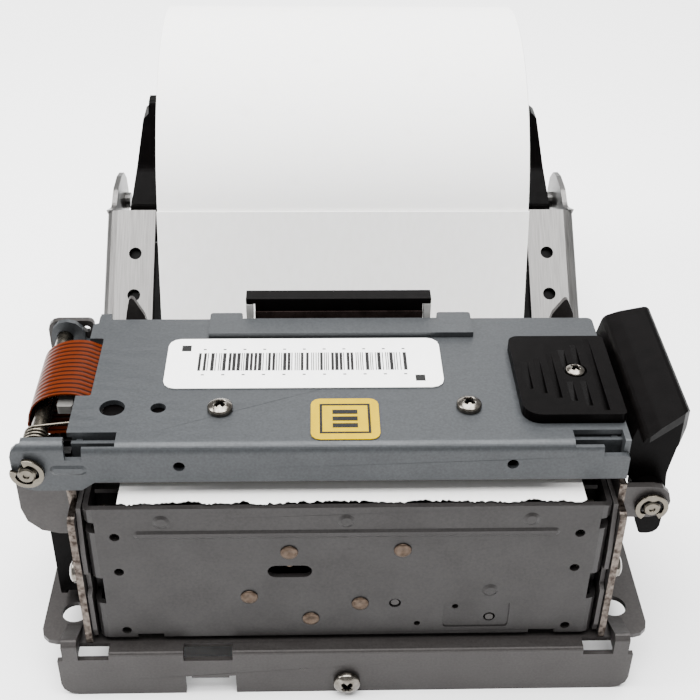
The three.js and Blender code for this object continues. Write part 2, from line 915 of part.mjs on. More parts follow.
function headAssembly() {
  const low = 47.2;
  const top = coverTop - sheet - gap;
  const carrier = cut(
    box(-42.4, 44, 8.2, 38.5, low, top),
    box(-41, 42.4, 13.4, 35.5, low - 1, top - 1.2),
    ...coverScrews.map((at) => rod("z", at, screwShank + gap, low - 1, 60, 16)),
  );
  place("head_carrier", carrier, 0x262626, 0.6, 0);
  const sink = cut(
    box(paperLeft, paperRight, 14, 34.8, 46, 51.9),
    ...Array.from({ length: 6 }, (_, i) =>
      box(-50, 50, 16 + i * 3, 17.4 + i * 3, 48.4, 60),
    ),
  );
  place("heat_sink", sink, 0xa8a9ab, 0.4, 0.9);
  const ceramic = box(paperLeft, paperRight, 16, 34, 44.9, 45.8);
  place("print_head", ceramic, 0xd9d4c8, 0.3, 0);
  const knife = outline([
    [bladeBack + gap, 45.3],
    [13, 45.3],
    [13, 46.3],
    [bladeBack + 1, 46.3],
  ]);
  place("fixed_blade", plate("x", knife, -43, 43), 0xb9b7b3, 0.25, 0.95);

  const connector = join(
    box(-17, 15, 42, 45, 53, 58.7),
    box(-18.7, 16.6, 42, 45, 57.6, 58.7),
  );
  place("head_connector", connector, 0x1a1918, 0.55, 0);
  const film = box(-17, 15, 41.35, 41.6, 50.6, 56.2);
  place("head_film", film, 0x5c4a44, 0.5, 0);
  for (const [name, x] of [
    ["left", -18.7],
    ["right", 15.3],
  ]) {
    const post = box(x, x + 1.3, 41.9, 44.6, 53, 57.4);
    place("connector_clip_" + name, post, 0xe6e4df, 0.4, 0);
  }
}

// ---------------------------------------------------------------- hinge and cable
function hingeParts() {
  place("hinge_shaft", rod("y", hinge, shaftRadius, 1.5, 44.8, 24), 0xb5b2ad, 0.25, 0.95);
  clip("hinge_clip", hinge, 1.9, 2.7, 135);

  const coil = 2.1;
  const turns = 5;
  const start = 12.2;
  const path = [];
  for (let k = 0; k <= turns * 14; k++) {
    const angle = (k / 14) * 2 * Math.PI + Math.PI / 2;
    path.push(
      new THREE.Vector3(
        hinge[0] + coil * Math.cos(angle),
        start - (k / 14) * 0.85,
        hinge[1] + coil * Math.sin(angle),
      ),
    );
  }
  const end = path[0];
  const lead = [6.2, 4, 2].map(
    (reach) => new THREE.Vector3(end.x + reach, end.y + 0.11 * reach, end.z + 0.04 * reach),
  );
  const wire = new THREE.CatmullRomCurve3([...lead, ...path]);
  const section = new THREE.Shape(circle([0, 0], 0.26, 5));
  const geometry = new THREE.ExtrudeGeometry(section, {
    steps: 84,
    bevelEnabled: false,
    extrudePath: wire,
  });
  place("hinge_spring", solid(geometry), 0x8d8983, 0.3, 0.95);

  const cable = [17.6, 33.9];
  const over = new THREE.SplineCurve(
    [
      [-44, 53.4],
      [-45.6, 54],
      [-47.4, 54.8],
      [-49.2, 55],
      [-51.2, 54.8],
      [-53.2, 54.1],
      [-55, 52.7],
      [-56, 50.9],
      [-56.4, 49.2],
      [-56.4, 48.2],
    ].map(([x, z]) => new THREE.Vector2(x, z)),
  ).getPoints(20);
  place("flex_upper", plate("y", band(over, 0.3), ...cable), 0xb5602c, 0.5, 0);
  const under = [
    ...arc(hinge, 4, 220, 275, 7),
    new THREE.Vector2(-49, 46.4),
    new THREE.Vector2(-45.9, 46.5),
  ];
  place("flex_lower", plate("y", band(under, 0.3), ...cable), 0xb5602c, 0.5, 0);
  place(
    "flex_clip",
    plate("z", rectangle(-50.8, -48.1, 16.3, 20.6, 0.4), 51.7, 53.3),
    0xcfcfcc,
    0.5,
    0,
  );
}

// ---------------------------------------------------------------- release lever
function lever() {
  const profile = outline([
    [58.1, 58.6, 1.2],
    [58.4, 55, 2],
    [56.6, 51, 4],
    [55.7, 45, 6],
    [56.6, 36, 4],
    [56.4, 30.6, 2],
    [52.9, 30.6, 0.8],
    [51.2, 36, 3],
    [49.9, 41.2, 3],
    [49.9, 43.4, 1],
    [48.3, 45.2, 0.6],
    [48.4, 52, 1],
    [49.4, 56.2, 1.6],
    [52.2, 57.3, 4],
  ].reverse());
  const nose = 3; // the grip overhangs the front of the arm
  const front = 7;
  const back = 39.5;
  const slant = outline([
    [50.2, nose - 1],
    [60, nose - 1],
    [60, 11],
    [58.5, 10],
    [58, 8.4],
    [56.8, front],
    [50.2, nose],
  ]);
  const underNose = outline([
    [45, 28],
    [60, 28],
    [60, 57],
    [48.4, 55],
    [45, 55],
  ]);
  const arm = cut(
    plate("y", profile, nose, back),
    plate("z", slant, 50, 60),
    plate("y", underNose, nose - 1, front),
  );
  const hub = rod("y", pivot, 3.2, 4.6, front + 0.5);
  const whole = join(arm, hub);
  const relief = plate("y", rectangle(45, 60, 30, 46.5, 0.1), 9.6, 34.4);
  const bore = rod("y", pivot, shaftRadius + running, 0, 50);
  place("release_lever", cut(whole, relief, bore), 0x1b1b1c, 0.45, 0);
  place("lever_pin", rod("y", pivot, shaftRadius, 1.8, 42.4, 24), 0xb5a695, 0.3, 0.95);
  clip("lever_clip", pivot, 2, 2.7, 270);
}

// ---------------------------------------------------------------- roll and its holder
const armLow = new THREE.Vector2(48.5, trayTop + gap); // Y and Z of the sloping flange
const armHigh = new THREE.Vector2(95.5, 48.1);
const armInside = 52.8; // from the middle of the paper
const armOutside = armInside + heavySheet;

const guideRadius = 4;
const guidePin = 1;
const guideTurn = guideRadius + gap + paperThickness / 2;
const platenTurn = platenRadius + gap + paperThickness / 2;
const rise = 20; // slope of the web between the guide rod and the platen, degrees
const entryTurn = 10;
const leaveAngle = 163.4; // where the web leaves the roll
const rollTurn = rollRadius + gap + paperThickness / 2;

// The web leaves the roll heading down and forward; this is the guide's centre on its line.
const guideCentre = (() => {
  const angle = THREE.MathUtils.degToRad(leaveAngle);
  const out = new THREE.Vector2(Math.cos(angle), Math.sin(angle));
  const heading = new THREE.Vector2(-out.y, out.x);
  const start = new THREE.Vector2(...rollCentre).addScaledVector(out, rollTurn);
  const length = 42;
  const centre = start.addScaledVector(heading, length).addScaledVector(out, guideTurn);
  return [centre.x, centre.y];
})();

// The flange's own frame, with X across, height over its outer face, and Z down the slope.
function flangeFrame() {
  const downhill = armLow.clone().sub(armHigh).normalize();
  const outward = new THREE.Vector3(0, downhill.y, -downhill.x);
  const frame = new THREE.Matrix4().makeBasis(
    AXIS_X,
    outward,
    new THREE.Vector3(0, downhill.x, downhill.y),
  );
  return frame.setPosition(0, armHigh.x, armHigh.y);
}

// Corners in the flange's frame, mirrored on the left and swept down the whole slope.
function alongFlange(sign, corners) {
  const points = outline(corners.map(([x, height, radius]) => [sign * x, height, radius]));
  const geometry = new THREE.ExtrudeGeometry(new THREE.Shape(points), {
    depth: armHigh.distanceTo(armLow),
    bevelEnabled: false,
  });
  return solid(geometry.applyMatrix4(flangeFrame()));
}

// Side sheets that carry the roll, each bent over along its sloping front.
function arms() {
  const bend = 2.6;
  for (const [name, sign] of sides) {
    const wall = outline([
      [armLow.x, armLow.y],
      [80, trayTop + gap, 5],
      [104, 31.4, 6],
      [121.5, 31.4, 8],
      [121.5, 47.4, 8],
      [107, 47.4, 5],
      [102, 45.2, 3],
      [armHigh.x, armHigh.y],
    ]);
    const sharpCorner = alongFlange(sign, [
      [armInside - 4, 1],
      [armInside - 4, -bend],
      [armOutside + 1, -bend],
      [armOutside + 1, 1],
    ]);
    const flange = alongFlange(sign, [
      [42.7, 0],
      [42.7, -heavySheet],
      [armInside, -heavySheet, bend - heavySheet],
      [armInside, -bend - 0.5],
      [armOutside, -bend - 0.5],
      [armOutside, 0, bend],
    ]);
    const foot = sideBox(sign, 44, armInside + 0.5, 64, 78, armLow.y, armLow.y + sheet);
    const nub = sideRod(sign, [116, 39.4], 2, armInside - 1.3, armInside + 0.2, 16);
    const whole = join(
      cut(sidePlate(sign, wall, armInside, armOutside), sharpCorner),
      flange,
      foot,
      nub,
    );
    const holes = [10.6, 20.6].map((down) => {
      const tool = new THREE.CylinderGeometry(1.45, 1.45, 8, 18);
      tool.translate(sign * 47, 0, down);
      return solid(tool.applyMatrix4(flangeFrame()));
    });
    const pinHole = sideRod(sign, guideCentre, guidePin + gap, 50, 60);
    const aboveTray = box(-60, 60, 40, 130, armLow.y, 60);
    const arm = cut(whole, ...holes, pinHole).intersect(aboveTray);
    place("arm_" + name, arm.translate(paperMiddle, 0, 0), 0x9d9c9b, 0.35, 0.9);
  }
}

// Black holders inside the arms, each with a fin beside the roll and a spindle stub in its core.
function holders() {
  const face = paperWidth / 2 + 1;
  for (const [name, sign] of sides) {
    const tip = sign < 0 ? 68.2 : 65.9;
    const leg = outline([
      [70, trayTop + 2.4, 1],
      [84, 22, 6],
      [108, 34, 8],
      [124, 38, 7],
      [123.4, 52, 7],
      [114.6, tip, 1.2],
      [110.4, tip, 1.2],
      [104.5, 54, 6],
      [96, 48, 6],
      [66, 23, 3],
      [66, trayTop + 2.4, 1],
    ]);
    const blade = outline([
      [99, 36, 3],
      [118, 36, 6],
      [120.5, 52, 6],
      [114.6, tip, 1.2],
      [110.4, tip, 1.2],
      [105.5, 54, 5],
      [98.6, 47, 2],
    ]);
    const taper = outline([
      [sign * face, 34],
      [sign * 51.3, 34],
      [sign * 45.7, 64.4, 0.8],
      [sign * 44.4, 65.6],
      [sign * 44.2, 70],
      [sign * face, 70],
    ]);
    const fin = sidePlate(sign, blade, face, 52).intersect(plate("y", taper, 90, 130));
    const pad = rectangle(100, 106, 36.6, 40.8, 1.5);
    const under = -heavySheet - gap;
    const strip = alongFlange(sign, [
      [face + 0.5, under],
      [face + 0.5, under - 1],
      [51, under - 1],
      [51, under],
    ]).intersect(box(-60, 60, 75.5, 90.5, trayTop, 60));
    const whole = join(
      strip,
      sidePlate(sign, leg, face, face + 1.1),
      fin,
      sidePlate(sign, pad, 48, armInside - gap),
      sideRod(sign, rollCentre, spindleRadius, face - 9, face + 1, 28),
    );
    place("holder_" + name, whole.translate(paperMiddle, 0, 0), 0x1e1e1f, 0.5, 0);
  }
  const ends = rod("x", guideCentre, guidePin, -armInside - 1, armInside + 1, 16);
  const middle = rod("x", guideCentre, guideRadius, -41.3, 41.3, 28);
  const guide = join(ends, middle).translate(paperMiddle, 0, 0);
  place("guide_rod", guide, 0xaaa9a6, 0.3, 0.9);
}

function webPath() {
  const leave = polar(rollCentre, rollTurn, leaveAngle);
  const bottom = 270 - rise;
  const aroundGuide = arc(guideCentre, guideTurn, leaveAngle + 180, bottom, 8);
  const slope = THREE.MathUtils.degToRad(180 - rise);
  const last = aroundGuide[aroundGuide.length - 1];
  const straight = platenCentre[0] + platenTurn;
  const centreY = straight + entryTurn;
  const startY = centreY - entryTurn * Math.sin(THREE.MathUtils.degToRad(rise));
  const startZ = last.y + (last.x - startY) * -Math.tan(slope);
  const centreZ = startZ + entryTurn * Math.cos(THREE.MathUtils.degToRad(rise));
  const entry = arc([centreY, centreZ], entryTurn, bottom, 180, 6);
  const wrap = arc(platenCentre, platenTurn, 0, 90, 8);
  return [leave, ...aroundGuide, ...entry, ...wrap];
}

function paper() {
  const ring = cut(
    rod("x", rollCentre, rollRadius, paperLeft, paperRight, 96),
    rod("x", rollCentre, coreRadius + gap, -60, 60, 32),
  );
  place("paper_roll", ring, 0xf4f3f0, 0.8, 0);
  const core = cut(
    rod("x", rollCentre, coreRadius, paperLeft + 0.3, paperRight - 0.3, 32),
    rod("x", rollCentre, spindleRadius + 0.35, -60, 60, 28),
  );
  place("paper_core", core, 0xb89a74, 0.85, 0);
  const path = webPath();
  place(
    "paper_web",
    plate("x", band(path, paperThickness), paperLeft, paperRight),
    0xf4f3f0,
    0.8,
    0,
  );
  const level = path[path.length - 1].y;
  const end = box(
    paperLeft,
    paperRight,
    0.5,
    platenCentre[0] - 0.2,
    level - paperThickness / 2,
    level + paperThickness / 2,
  );
  place("paper_end", end, 0xf4f3f0, 0.8, 0);
}

tray();
leftFrame();
rightFrame();
rearPlate();
cutterPlate();
cutterBack();
cutterDrive();
feed();
gearCover();
topCover();
coverFittings();
headAssembly();
hingeParts();
lever();
arms();
holders();
paper();

export default group;
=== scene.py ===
import json
import math
import random

import bmesh
import bpy
from mathutils import Matrix, Vector


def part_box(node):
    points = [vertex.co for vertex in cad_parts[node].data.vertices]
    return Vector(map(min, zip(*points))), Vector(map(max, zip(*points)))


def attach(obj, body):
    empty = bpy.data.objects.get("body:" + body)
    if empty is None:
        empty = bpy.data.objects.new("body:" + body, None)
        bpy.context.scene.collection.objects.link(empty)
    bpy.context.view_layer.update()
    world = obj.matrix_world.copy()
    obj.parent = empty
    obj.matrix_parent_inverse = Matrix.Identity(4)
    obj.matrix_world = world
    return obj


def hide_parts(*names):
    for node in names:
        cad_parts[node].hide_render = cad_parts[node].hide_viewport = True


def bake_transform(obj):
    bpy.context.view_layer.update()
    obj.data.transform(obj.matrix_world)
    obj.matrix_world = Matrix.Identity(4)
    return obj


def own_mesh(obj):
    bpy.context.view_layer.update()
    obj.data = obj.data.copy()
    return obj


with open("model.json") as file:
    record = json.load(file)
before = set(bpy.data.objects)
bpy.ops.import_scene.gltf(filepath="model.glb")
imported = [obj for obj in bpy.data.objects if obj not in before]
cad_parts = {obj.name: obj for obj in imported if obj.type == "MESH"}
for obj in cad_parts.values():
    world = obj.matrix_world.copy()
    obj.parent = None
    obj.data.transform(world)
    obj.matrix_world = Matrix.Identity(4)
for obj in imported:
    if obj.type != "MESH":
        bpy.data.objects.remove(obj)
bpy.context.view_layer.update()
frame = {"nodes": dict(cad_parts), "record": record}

NODES = frame["nodes"]
RECORD = frame["record"]
MM = 0.001

CAMERA_PLACE = (-0.00572, -0.15001, 0.18649)
CAMERA_PITCH = 35.69  # degrees down
CAMERA_YAW = 2.05  # degrees to the right
CAMERA_ROLL = 0.907  # degrees
CAMERA_LENS = 62.89  # mm
SENSOR_WIDTH = 36  # mm
WORLD_STRENGTH = 0.6
FLOOR_REACH = 3
PRINTER_MIDDLE = (0, 0.06, 0.04)


# ---------------------------------------------------------------- camera, floor and light
def make_camera():
    """Looks down on the printer's front, turned and tilted very slightly."""
    pitch = math.radians(CAMERA_PITCH)
    yaw = math.radians(CAMERA_YAW)
    roll = math.radians(CAMERA_ROLL)
    forward = Vector((
        math.sin(yaw) * math.cos(pitch),
        math.cos(yaw) * math.cos(pitch),
        -math.sin(pitch),
    ))
    level = Vector((math.cos(yaw), -math.sin(yaw), 0))
    above = level.cross(forward)
    right = level * math.cos(roll) + above * math.sin(roll)
    up = above * math.cos(roll) - level * math.sin(roll)
    data = bpy.data.cameras.new("camera")
    data.sensor_width = SENSOR_WIDTH
    data.lens = CAMERA_LENS
    data.clip_start = 0.01
    camera = bpy.data.objects.new("camera", data)
    turn = Matrix((right, up, -forward)).transposed().to_4x4()
    camera.matrix_world = Matrix.Translation(CAMERA_PLACE) @ turn
    bpy.context.scene.collection.objects.link(camera)
    bpy.context.scene.camera = camera


def soft_light(name, watts, size, place):
    """A square light at a place, facing the middle of the printer."""
    data = bpy.data.lights.new(name, "AREA")
    data.energy = watts
    data.size = size
    lamp = bpy.data.objects.new(name, data)
    lamp.location = place
    facing = Vector(PRINTER_MIDDLE) - Vector(place)
    lamp.rotation_euler = facing.to_track_quat("-Z", "Y").to_euler()
    bpy.context.scene.collection.objects.link(lamp)


def make_studio():
    """An even white surround, three soft lights and a plain pale floor."""
    world = bpy.data.worlds.new("studio")
    world.use_nodes = True
    background = world.node_tree.nodes["Background"]
    background.inputs["Color"].default_value = (1, 1, 1, 1)
    background.inputs["Strength"].default_value = WORLD_STRENGTH
    bpy.context.scene.world = world
    soft_light("overhead", 46, 1.0, (0, 0.06, 0.95))
    soft_light("key", 6, 0.3, (-0.6, 0.05, 0.5))
    soft_light("back", 2.5, 0.6, (0.1, 1.0, 0.7))
    corners = [(x * FLOOR_REACH, y * FLOOR_REACH, 0) for x, y in ((-1, -1), (1, -1), (1, 1), (-1, 1))]
    mesh = bpy.data.meshes.new("floor")
    mesh.from_pydata(corners, [], [(0, 1, 2, 3)])
    floor = bpy.data.objects.new("floor", mesh)
    bpy.context.scene.collection.objects.link(floor)
    pale = Finish("pale floor", specular=0.1)
    pale.colour(pale.noise(0.2), (0.9, 0.9, 0.9), (0.93, 0.93, 0.93))
    pale.set("Roughness", 0.9)
    mesh.materials.append(pale.material)


# ---------------------------------------------------------------- finishes
class Finish:
    """A procedural material whose patterns run in the piece's own coordinates, in metres."""

    def __init__(self, name, metallic=0.0, specular=0.5):
        self.material = bpy.data.materials.new(name)
        self.material.use_nodes = True
        self.tree = self.material.node_tree
        self.shader = self.tree.nodes["Principled BSDF"]
        self.set("Metallic", metallic)
        self.set("Specular IOR Level", specular)
        self.where = self.add("ShaderNodeTexCoord").outputs["Object"]
        self.bumped = None

    def add(self, kind):
        """A new shader node of a kind."""
        return self.tree.nodes.new(kind)

    def link(self, output, socket):
        """Joins a node's output to a socket."""
        self.tree.links.new(output, socket)

    def set(self, name, value):
        """Sets one of the shader's inputs to a plain value."""
        self.shader.inputs[name].default_value = value

    def mapped(self, size, stretch=(1, 1, 1), turn=(0, 0, 0)):
        """The piece's coordinates measured in units of `size`, finer along stretched axes."""
        mapping = self.add("ShaderNodeMapping")
        mapping.vector_type = "TEXTURE"
        mapping.inputs["Scale"].default_value = [size / s for s in stretch]
        mapping.inputs["Rotation"].default_value = turn
        self.link(self.where, mapping.inputs["Vector"])
        return mapping.outputs["Vector"]

    def noise(self, size, stretch=(1, 1, 1), turn=(0, 0, 0), detail=4):
        """Cloudy grain whose patches are about `size` across."""
        texture = self.add("ShaderNodeTexNoise")
        texture.inputs["Scale"].default_value = 1
        texture.inputs["Detail"].default_value = detail
        self.link(self.mapped(size, stretch, turn), texture.inputs["Vector"])
        return texture.outputs["Fac"]

    def waves(self, pitch, axis, kind="BANDS", wobble=0.0):
        """Even lines across an axis, or rings round it, one every `pitch`."""
        texture = self.add("ShaderNodeTexWave")
        texture.wave_type = kind
        if kind == "BANDS":
            texture.bands_direction = axis
        else:
            texture.rings_direction = axis
        texture.inputs["Scale"].default_value = 1
        texture.inputs["Distortion"].default_value = wobble
        texture.inputs["Detail"].default_value = 1
        self.link(self.mapped(pitch * 10 / math.pi), texture.inputs["Vector"])
        return texture.outputs["Fac"]

    def colour(self, pattern, dark, light, low=0.35, high=0.65):
        """Base colour from dark to light as the pattern rises from low to high."""
        ramp = self.add("ShaderNodeValToRGB")
        ramp.color_ramp.elements[0].position = low
        ramp.color_ramp.elements[0].color = (*dark, 1)
        ramp.color_ramp.elements[1].position = high
        ramp.color_ramp.elements[1].color = (*light, 1)
        self.link(pattern, ramp.inputs["Fac"])
        self.link(ramp.outputs["Color"], self.shader.inputs["Base Color"])

    def roughness(self, pattern, low, high):
        """Roughness from low to high over the middle of the pattern's range."""
        spread = self.add("ShaderNodeMapRange")
        spread.inputs["From Min"].default_value = 0.3
        spread.inputs["From Max"].default_value = 0.7
        spread.inputs["To Min"].default_value = low
        spread.inputs["To Max"].default_value = high
        self.link(pattern, spread.inputs["Value"])
        self.link(spread.outputs["Result"], self.shader.inputs["Roughness"])

    def bump(self, pattern, height, strength):
        """Relief of a height in metres, over any relief added before."""
        node = self.add("ShaderNodeBump")
        node.inputs["Distance"].default_value = height
        node.inputs["Strength"].default_value = strength
        self.link(pattern, node.inputs["Height"])
        if self.bumped:
            self.link(self.bumped, node.inputs["Normal"])
        self.bumped = node.outputs["Normal"]
        self.link(self.bumped, self.shader.inputs["Normal"])


def sheet_steel(name, dark, light, rough=(0.36, 0.5)):
    """Plated sheet with cloudy tone, fine speckle and faint rolling marks."""
    finish = Finish(name, metallic=0.4, specular=0.3)
    finish.colour(finish.noise(0.00045, detail=6), dark, light, 0.3, 0.7)
    finish.roughness(finish.noise(0.006, (1, 4, 1), detail=3), *rough)
    finish.bump(finish.noise(0.0003, detail=3), 0.00002, 0.35)
    finish.bump(finish.noise(0.012, (0.3, 3, 3)), 0.00004, 0.2)
    return finish.material


def brushed_steel(name, dark, light, slope):
    """Sheet brushed along a direction that climbs backwards at `slope` degrees."""
    finish = Finish(name, metallic=0.85)
    turn = (math.radians(slope), 0, 0)
    grain = finish.noise(0.0012, (4, 0.15, 4), turn, 5)
    finish.colour(grain, dark, light, 0.3, 0.7)
    finish.roughness(grain, 0.3, 0.4)
    finish.bump(grain, 0.00002, 0.25)
    finish.bump(finish.noise(0.004), 0.00004, 0.15)
    return finish.material


def polished(name, dark, light, rough=(0.14, 0.28)):
    """Turned or plated metal with handling marks."""
    finish = Finish(name, metallic=1.0)
    finish.colour(finish.noise(0.0009, detail=6), dark, light, 0.35, 0.65)
    finish.roughness(finish.noise(0.0007, detail=6), *rough)
    finish.bump(finish.noise(0.0003), 0.00002, 0.3)
    return finish.material


def moulded(name, dark, light, rough, grain=0.00025, depth=0.00003, specular=0.3):
    """Injection-moulded plastic with a spark-eroded grain."""
    finish = Finish(name, specular=specular)
    finish.colour(finish.noise(0.003), dark, light)
    finish.roughness(finish.noise(0.002, detail=5), *rough)
    finish.bump(finish.noise(grain, detail=2), depth, 0.6)
    return finish.material


def paper_stock(name, dark, light, rough=(0.6, 0.75), specular=0.25):
    """Coated paper with faint fibres."""
    finish = Finish(name, specular=specular)
    finish.colour(finish.noise(0.0012, (1, 0.4, 0.4), detail=6), dark, light, 0.3, 0.7)
    finish.roughness(finish.noise(0.003), *rough)
    finish.bump(finish.noise(0.0006, (0.5, 1, 1)), 0.00002, 0.4)
    return finish.material


def wound_paper():
    """The roll: rings on its sides from the wound layers, faint bands round its face."""
    finish = Finish("wound paper", specular=0.25)
    rings = finish.waves(0.0011, "X", "RINGS", wobble=1.5)
    finish.colour(rings, (0.85, 0.84, 0.82), (0.91, 0.905, 0.89), 0.1, 0.6)
    finish.roughness(finish.noise(0.004), 0.6, 0.75)
    finish.bump(rings, 0.00005, 0.35)
    finish.bump(finish.noise(0.0008, (0.3, 1, 1)), 0.00003, 0.3)
    return finish.material


def ribbon_film():
    """Orange polyimide with thirteen copper traces showing as bands along it."""
    finish = Finish("orange film", specular=0.05)
    traces = finish.waves(0.00122, "Y")
    finish.colour(traces, (0.010, 0.0013, 0.0), (0.062, 0.0082, 0.0), 0.12, 0.5)
    finish.roughness(finish.noise(0.002), 0.28, 0.4)
    finish.bump(traces, 0.00012, 0.5)
    finish.bump(finish.noise(0.0015), 0.00003, 0.3)
    return finish.material


def wound_board():
    """Grey-brown card wound into a tube."""
    finish = Finish("wound board", specular=0.2)
    finish.colour(finish.noise(0.0015, (4, 1, 1)), (0.14, 0.085, 0.045), (0.2, 0.13, 0.07))
    finish.roughness(finish.noise(0.002), 0.75, 0.9)
    finish.bump(finish.waves(0.0009, "X", "RINGS"), 0.00005, 0.5)
    finish.bump(finish.noise(0.0006), 0.00005, 0.4)
    return finish.material


FINISHES = {
    "frame_steel": sheet_steel("frame steel", (0.0235, 0.0212, 0.0205), (0.033, 0.0298, 0.0287)),
    "arm_steel": brushed_steel("arm steel", (0.062, 0.06, 0.058), (0.112, 0.109, 0.106), 38),
    "cover_steel": sheet_steel("cover steel", (0.027, 0.029, 0.0312), (0.038, 0.0412, 0.0442)),
    "bright_steel": polished("bright steel", (0.10, 0.09, 0.077), (0.19, 0.176, 0.155)),
    "copper": polished("dull copper", (0.04, 0.028, 0.02), (0.075, 0.055, 0.042), (0.35, 0.5)),
    "brass": polished("brass", (0.2, 0.13, 0.05), (0.32, 0.22, 0.1)),
    "motor_can": polished("drawn can", (0.1, 0.098, 0.095), (0.18, 0.175, 0.17), (0.25, 0.4)),
    "aluminium": brushed_steel("aluminium", (0.16, 0.16, 0.165), (0.26, 0.26, 0.265), 0),
    "black_plastic": moulded("black plastic", (0.0010, 0.0008, 0.0008), (0.0016, 0.0013, 0.0013),
                             (0.3, 0.42), specular=0.03),
    "gear_plastic": moulded("acetal", (0.004, 0.004, 0.004), (0.007, 0.007, 0.007),
                            (0.3, 0.45), specular=0.08),
    "white_plastic": moulded("white plastic", (0.3, 0.3, 0.29), (0.4, 0.395, 0.385), (0.3, 0.45)),
    "rubber": moulded("rubber", (0.004, 0.004, 0.004), (0.007, 0.007, 0.007), (0.65, 0.8),
                      0.0004, 0.00006, 0.15),
    "ceramic": moulded("ceramic", (0.3, 0.28, 0.24), (0.4, 0.38, 0.33), (0.12, 0.25),
                       0.0008, 0.00001, 0.4),
    "orange_film": ribbon_film(),
    "brown_film": moulded("brown film", (0.006, 0.004, 0.0035), (0.016, 0.011, 0.01),
                          (0.2, 0.35), 0.002, 0.00012, 0.1),
    "white_label": paper_stock("label stock", (0.86, 0.86, 0.85), (0.9, 0.9, 0.89), (0.35, 0.5)),
    "yellow_label": paper_stock("yellow stock", (0.36, 0.24, 0.0), (0.40, 0.27, 0.0), (0.6, 0.7), 0.0),
    "paper": paper_stock("thermal paper", (0.87, 0.86, 0.84), (0.91, 0.905, 0.89)),
    "cardboard": wound_board(),
}
# Finishes for rounded edges. Their lighter colours are painted highlights standing in for light caught
# along the bevels, together with real edge wear. The frame's edge finish also gives the side sheets' raw
# cut edges their mottled colour.
EDGE_WEAR_AND_HIGHLIGHTS = {
    "frame_steel": polished("frame edge wear and highlight", (0.022, 0.016, 0.013), (0.11, 0.094, 0.082), (0.25, 0.4)),
    "arm_steel": polished("arm edge highlight", (0.13, 0.12, 0.11), (0.27, 0.26, 0.25), (0.2, 0.3)),
    "cover_steel": polished("cover edge highlight", (0.08, 0.085, 0.09), (0.18, 0.19, 0.2), (0.2, 0.35)),
    "black_plastic": moulded("rubbed plastic highlight", (0.003, 0.0025, 0.0025), (0.006, 0.0052, 0.005),
                             (0.06, 0.14), specular=1.0),
}
INK = moulded("label ink", (0.003, 0.003, 0.003), (0.006, 0.006, 0.006), (0.35, 0.5), specular=0.15)
# Dark finish for the faces inside the screws' cross recesses: painted shade.
RECESS_SHADE = polished("screw recess painted shade", (0.012, 0.011, 0.01), (0.03, 0.028, 0.025), (0.4, 0.55))
SPRING_STEEL = polished("spring steel", (0.095, 0.085, 0.069), (0.115, 0.103, 0.084), (0.24, 0.32))

# Nodes whose finish differs from the others of their slot.
OWN_FINISH = {
    "flex_clip": moulded("grey plastic", (0.07, 0.068, 0.064), (0.1, 0.097, 0.092), (0.35, 0.5)),
    "cutter_plate": sheet_steel("cutter steel", (0.0138, 0.0126, 0.0124), (0.0205, 0.0186, 0.0182)),
    "guide_rod": polished("ground rod", (0.115, 0.11, 0.103), (0.14, 0.134, 0.126), (0.2, 0.26)),
    "hinge_clip": SPRING_STEEL,
    "lever_clip": SPRING_STEEL,
    "hinge_spring": SPRING_STEEL,
    "hinge_shaft": SPRING_STEEL,
    "lever_pin": SPRING_STEEL,
}

# How wide the corners of each slot's pieces are rounded.
EDGE_WIDTH = {
    "frame_steel": 0.16 * MM,
    "arm_steel": 0.18 * MM,
    "cover_steel": 0.2 * MM,
    "black_plastic": 0.3 * MM,
    "gear_plastic": 0.08 * MM,
    "white_plastic": 0.15 * MM,
    "motor_can": 0.3 * MM,
    "aluminium": 0.1 * MM,
    "ceramic": 0.1 * MM,
    "bright_steel": 0.08 * MM,
    "rubber": 0.3 * MM,
    "cardboard": 0.15 * MM,
    "brass": 0.06 * MM,
}

SHARP_ANGLE = math.radians(35)
ROUNDED_ANGLE = math.radians(38)
FLAT_ANGLE = math.radians(0.5)
SIDE_SHEET_REACH = 48 * MM


def smooth(mesh):
    """Smooth shading between faces that meet at less than the sharp angle."""
    mesh.shade_smooth()
    mesh.set_sharp_from_angle(angle=SHARP_ANGLE)


def wear_and_highlight_edges(piece, slot):
    """Rounds the corners of a piece and gives the rounding its edge finish, lighter than the body:
    painted highlight along the bevels, partly real wear.
    """
    width = EDGE_WIDTH.get(slot)
    if not width:
        return
    flat = piece.modifiers.new("flat faces", "DECIMATE")
    flat.decimate_type = "DISSOLVE"
    flat.angle_limit = FLAT_ANGLE
    bevel = piece.modifiers.new("worn and highlighted edges", "BEVEL")
    bevel.width = width
    bevel.segments = 2
    bevel.limit_method = "ANGLE"
    bevel.angle_limit = ROUNDED_ANGLE
    bevel.use_clamp_overlap = False
    # The edge finish is lighter than the body: painted highlight on the rounded edges, with some wear.
    if slot in EDGE_WEAR_AND_HIGHLIGHTS:
        piece.data.materials.append(EDGE_WEAR_AND_HIGHLIGHTS[slot])
        bevel.material = 1
    even = piece.modifiers.new("even faces", "WEIGHTED_NORMAL")
    even.keep_sharp = False
    even.weight = 80


def bare_cut_edges(piece):
    """Gives the sheared edges of an upright side sheet their raw, mottled finish."""
    for face in piece.data.polygons:
        if abs(face.normal.x) < 0.5 and abs(face.center.x) < SIDE_SHEET_REACH:
            face.material_index = 1


def dress_frame():
    """Every CAD node gets its own finish, or else that of its slot in the record."""
    for part in RECORD["subparts"]:
        piece = NODES[part["node"]]
        slot = part["material_slot"]
        piece.data.materials.clear()
        piece.data.materials.append(OWN_FINISH.get(part["node"], FINISHES[slot]))
        smooth(piece.data)
        wear_and_highlight_edges(piece, slot)
    for node in ("side_frame_left", "side_frame_right"):
        bare_cut_edges(NODES[node])


